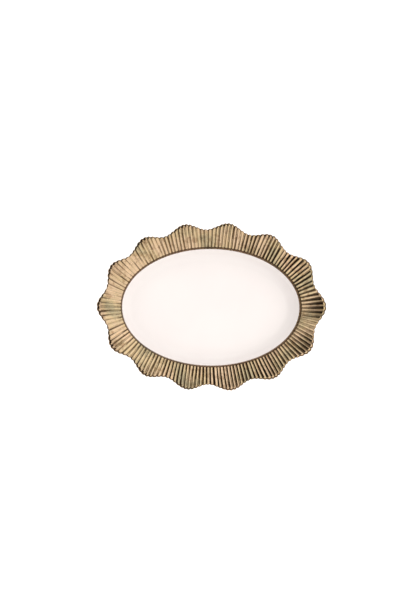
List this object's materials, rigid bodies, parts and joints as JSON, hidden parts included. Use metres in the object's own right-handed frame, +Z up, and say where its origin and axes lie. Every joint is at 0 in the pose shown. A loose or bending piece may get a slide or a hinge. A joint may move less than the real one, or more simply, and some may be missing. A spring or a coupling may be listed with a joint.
{
  "type": "oval serving platter",
  "caption": "Oval white porcelain serving platter with a recessed well, a wide fluted rim in bronze-gold lustre and a scalloped gold lip, standing on an oval foot ring.",
  "frame": {"origin": "middle of the foot ring, on the table: the centre of the footprint at the underside", "axes": "+X along the platter's length, +Y along its width, +Z up out of the well"},
  "size_m": [0.4061, 0.293, 0.0388],
  "materials": {
    "clay": "unglazed, fine and matte",
    "white_glaze": "clear gloss over white",
    "gold_lustre": "bronze-gold metallic lustre, fired over the glaze"
  },
  "bodies": {
    "root": {"body": "clay", "foot_ring": "clay", "well_glaze": "white_glaze", "underside_glaze": "white_glaze", "foot_recess_glaze": "white_glaze", "step_band": "gold_lustre", "rim_lustre": "gold_lustre", "lip_band": "gold_lustre"}
  },
  "joints": []
}
